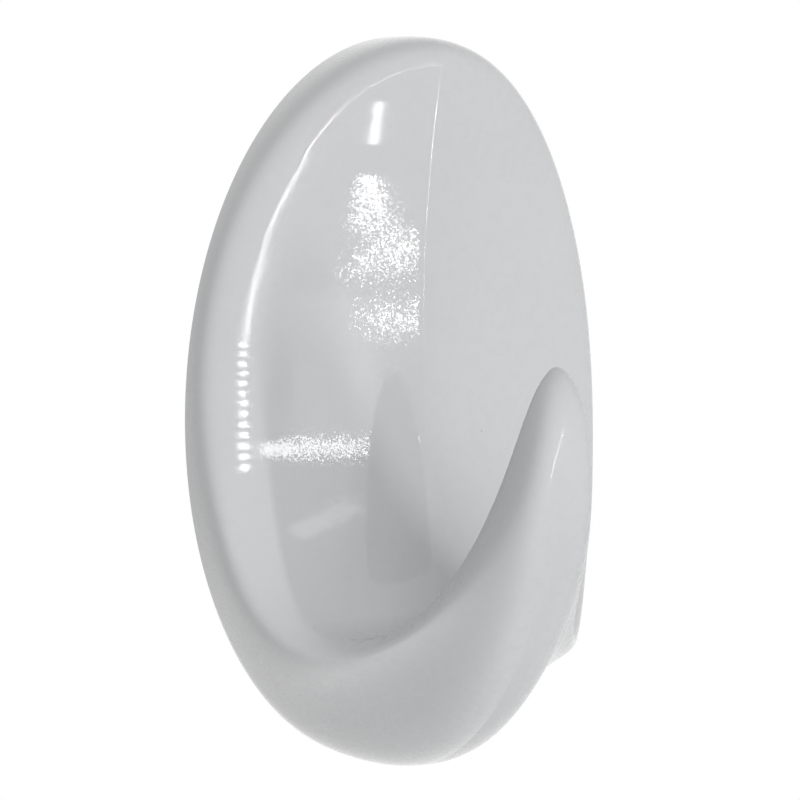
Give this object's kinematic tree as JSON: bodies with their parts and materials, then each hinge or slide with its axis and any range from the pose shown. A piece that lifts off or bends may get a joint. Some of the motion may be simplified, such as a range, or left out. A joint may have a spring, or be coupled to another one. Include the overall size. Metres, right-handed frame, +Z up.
{
  "type": "adhesive wall hook",
  "caption": "White oval adhesive wall hook: a moulded cover with a pointed nose slides onto a base plate held to the wall by a stretch-release strip.",
  "frame": {"origin": "on the wall-side adhesive face, in the plane of symmetry, level with the middle of the oval cover", "axes": "+X across the hook to its right as seen from the room, +Y into the wall, +Z up the wall"},
  "size_m": [0.0434, 0.0358, 0.0716],
  "materials": {
    "cover_plastic": "glossy moulded white",
    "plate_plastic": "fine matt moulded white",
    "strip_foam": "soft white stretching foam",
    "adhesive": "tacky and slightly yellow",
    "tab_film": "satin film"
  },
  "bodies": {
    "base": {"base_plate": "plate_plastic", "strip_core": "strip_foam", "wall_adhesive": "adhesive", "plate_adhesive": "adhesive", "tab_film_back": "tab_film", "tab_film_front": "tab_film"},
    "cover": {"hook_cover": "cover_plastic"}
  },
  "joints": [
    {"name": "cover_slide", "type": "slide", "parent": "base", "child": "cover", "axis": [0, 0, 1], "range_m": [0, 0.0081]}
  ]
}
